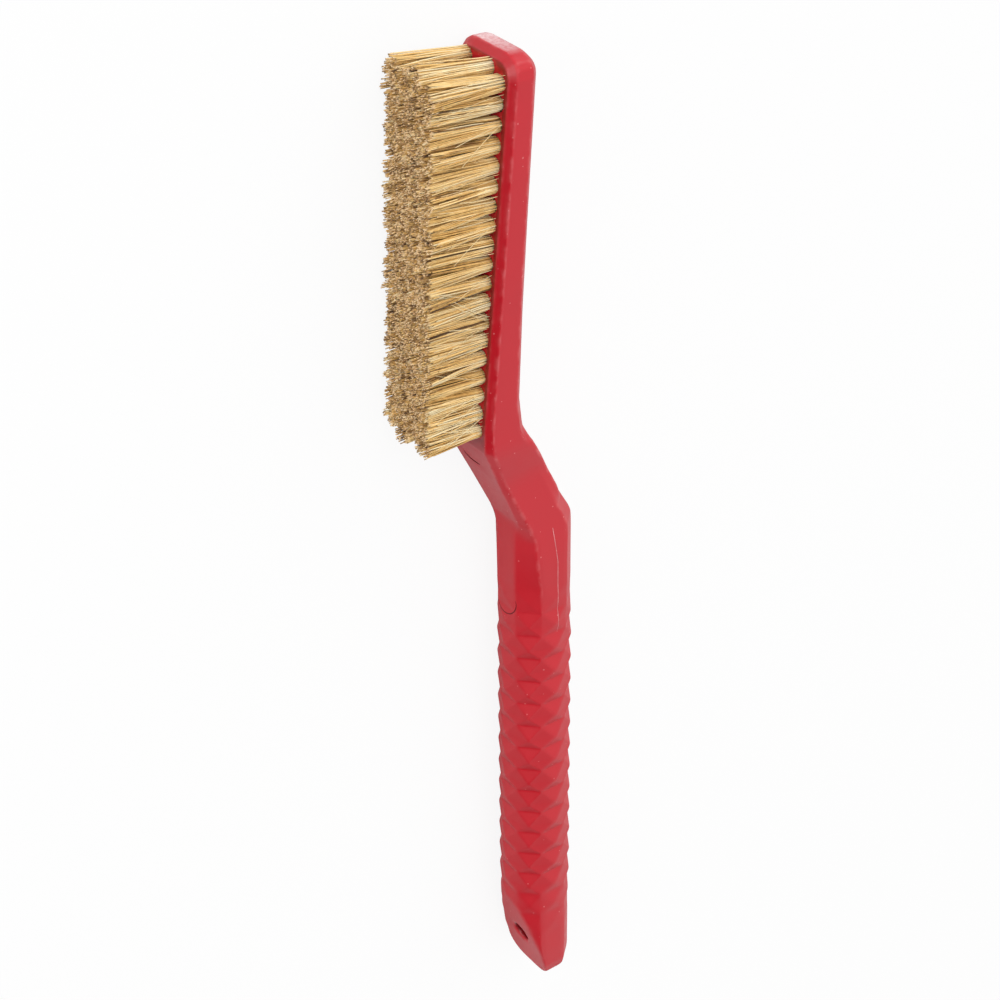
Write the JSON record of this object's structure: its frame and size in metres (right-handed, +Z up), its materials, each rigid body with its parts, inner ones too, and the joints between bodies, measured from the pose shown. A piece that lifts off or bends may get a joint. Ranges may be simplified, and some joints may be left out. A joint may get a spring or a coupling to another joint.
{
  "type": "climbing brush",
  "caption": "Hand brush for cleaning climbing holds: a faceted plastic handle with an offset narrow head, staggered tufts of natural bristle and a hanging hole at the end.",
  "frame": {"origin": "middle of the flat side of the head that the brush rests on, halfway between its front and back edges", "axes": "+Y along the handle from the hanging hole to the head's tip, bristles towards -X, +Z up through the head's width, out of the side that faces up at rest"},
  "size_m": [0.0386, 0.2295, 0.0173],
  "materials": {
    "handle": "satin moulded plastic, saturated crimson red",
    "bristles": "natural boar bristle, straw to light brown, darker between the strands"
  },
  "bodies": {
    "root": {"handle": "handle", "tuft_pair_a01": "bristles", "tuft_pair_a02": "bristles", "tuft_pair_a03": "bristles", "tuft_pair_a04": "bristles", "tuft_pair_a05": "bristles", "tuft_pair_a06": "bristles", "tuft_pair_a07": "bristles", "tuft_pair_a08": "bristles", "tuft_pair_a09": "bristles", "tuft_pair_a10": "bristles", "tuft_pair_a11": "bristles", "tuft_pair_a12": "bristles", "tuft_pair_a13": "bristles", "tuft_pair_a14": "bristles", "tuft_pair_a15": "bristles", "tuft_pair_a16": "bristles", "tuft_pair_a17": "bristles", "tuft_pair_a18": "bristles", "tuft_pair_a19": "bristles", "tuft_pair_b01": "bristles", "tuft_pair_b02": "bristles", "tuft_pair_b03": "bristles", "tuft_pair_b04": "bristles", "tuft_pair_b05": "bristles", "tuft_pair_b06": "bristles", "tuft_pair_b07": "bristles", "tuft_pair_b08": "bristles", "tuft_pair_b09": "bristles", "tuft_pair_b10": "bristles", "tuft_pair_b11": "bristles", "tuft_pair_b12": "bristles", "tuft_pair_b13": "bristles", "tuft_pair_b14": "bristles", "tuft_pair_b15": "bristles", "tuft_pair_b16": "bristles", "tuft_pair_b17": "bristles", "tuft_pair_b18": "bristles", "tuft_pair_b19": "bristles"}
  },
  "joints": []
}
